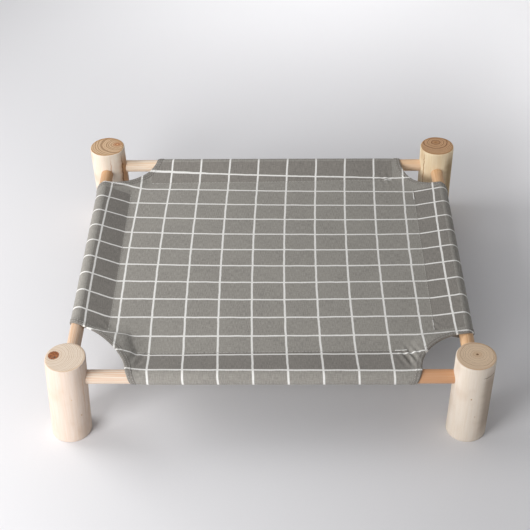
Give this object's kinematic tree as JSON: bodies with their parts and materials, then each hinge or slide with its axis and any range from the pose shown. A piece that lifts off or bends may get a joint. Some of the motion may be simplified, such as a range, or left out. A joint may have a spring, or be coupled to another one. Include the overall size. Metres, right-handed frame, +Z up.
{
  "type": "dog bed with frame",
  "caption": "Low raised pet bed: log posts and round wooden rails hold a taut checked canvas sling by its sewn sleeves; the posts push onto the rails.",
  "frame": {"origin": "on the floor, at the middle of the footprint", "axes": "+X to the right along the front, +Y from front to back, +Z up"},
  "size_m": [0.4954, 0.4654, 0.112],
  "materials": {
    "log_wood": "debarked and dry, matt",
    "dowel_wood": "turned and sanded, unfinished",
    "canvas": "plain weave, grey with white window-pane lines",
    "thread": "spun sewing thread, matt"
  },
  "bodies": {
    "frame_and_sling": {"post_front_right": "log_wood", "post_back_right": "log_wood", "rail_front": "dowel_wood", "rail_back": "dowel_wood", "rail_right": "dowel_wood", "sling_panel": "canvas", "sleeve_front": "canvas", "sleeve_back": "canvas", "sleeve_right": "canvas", "hem_front_left": "canvas", "hem_front_right": "canvas", "hem_back_left": "canvas", "hem_back_right": "canvas", "seam_thread_front": "thread", "seam_thread_back": "thread", "seam_thread_left": "thread", "seam_thread_right": "thread"},
    "left_end": {"post_front_left": "log_wood", "post_back_left": "log_wood", "rail_left": "dowel_wood", "sleeve_left": "canvas"}
  },
  "joints": [
    {"name": "left_end_pull", "type": "slide", "parent": "frame_and_sling", "child": "left_end", "axis": [-1, 0, 0], "range_m": [0, 0.016]}
  ]
}
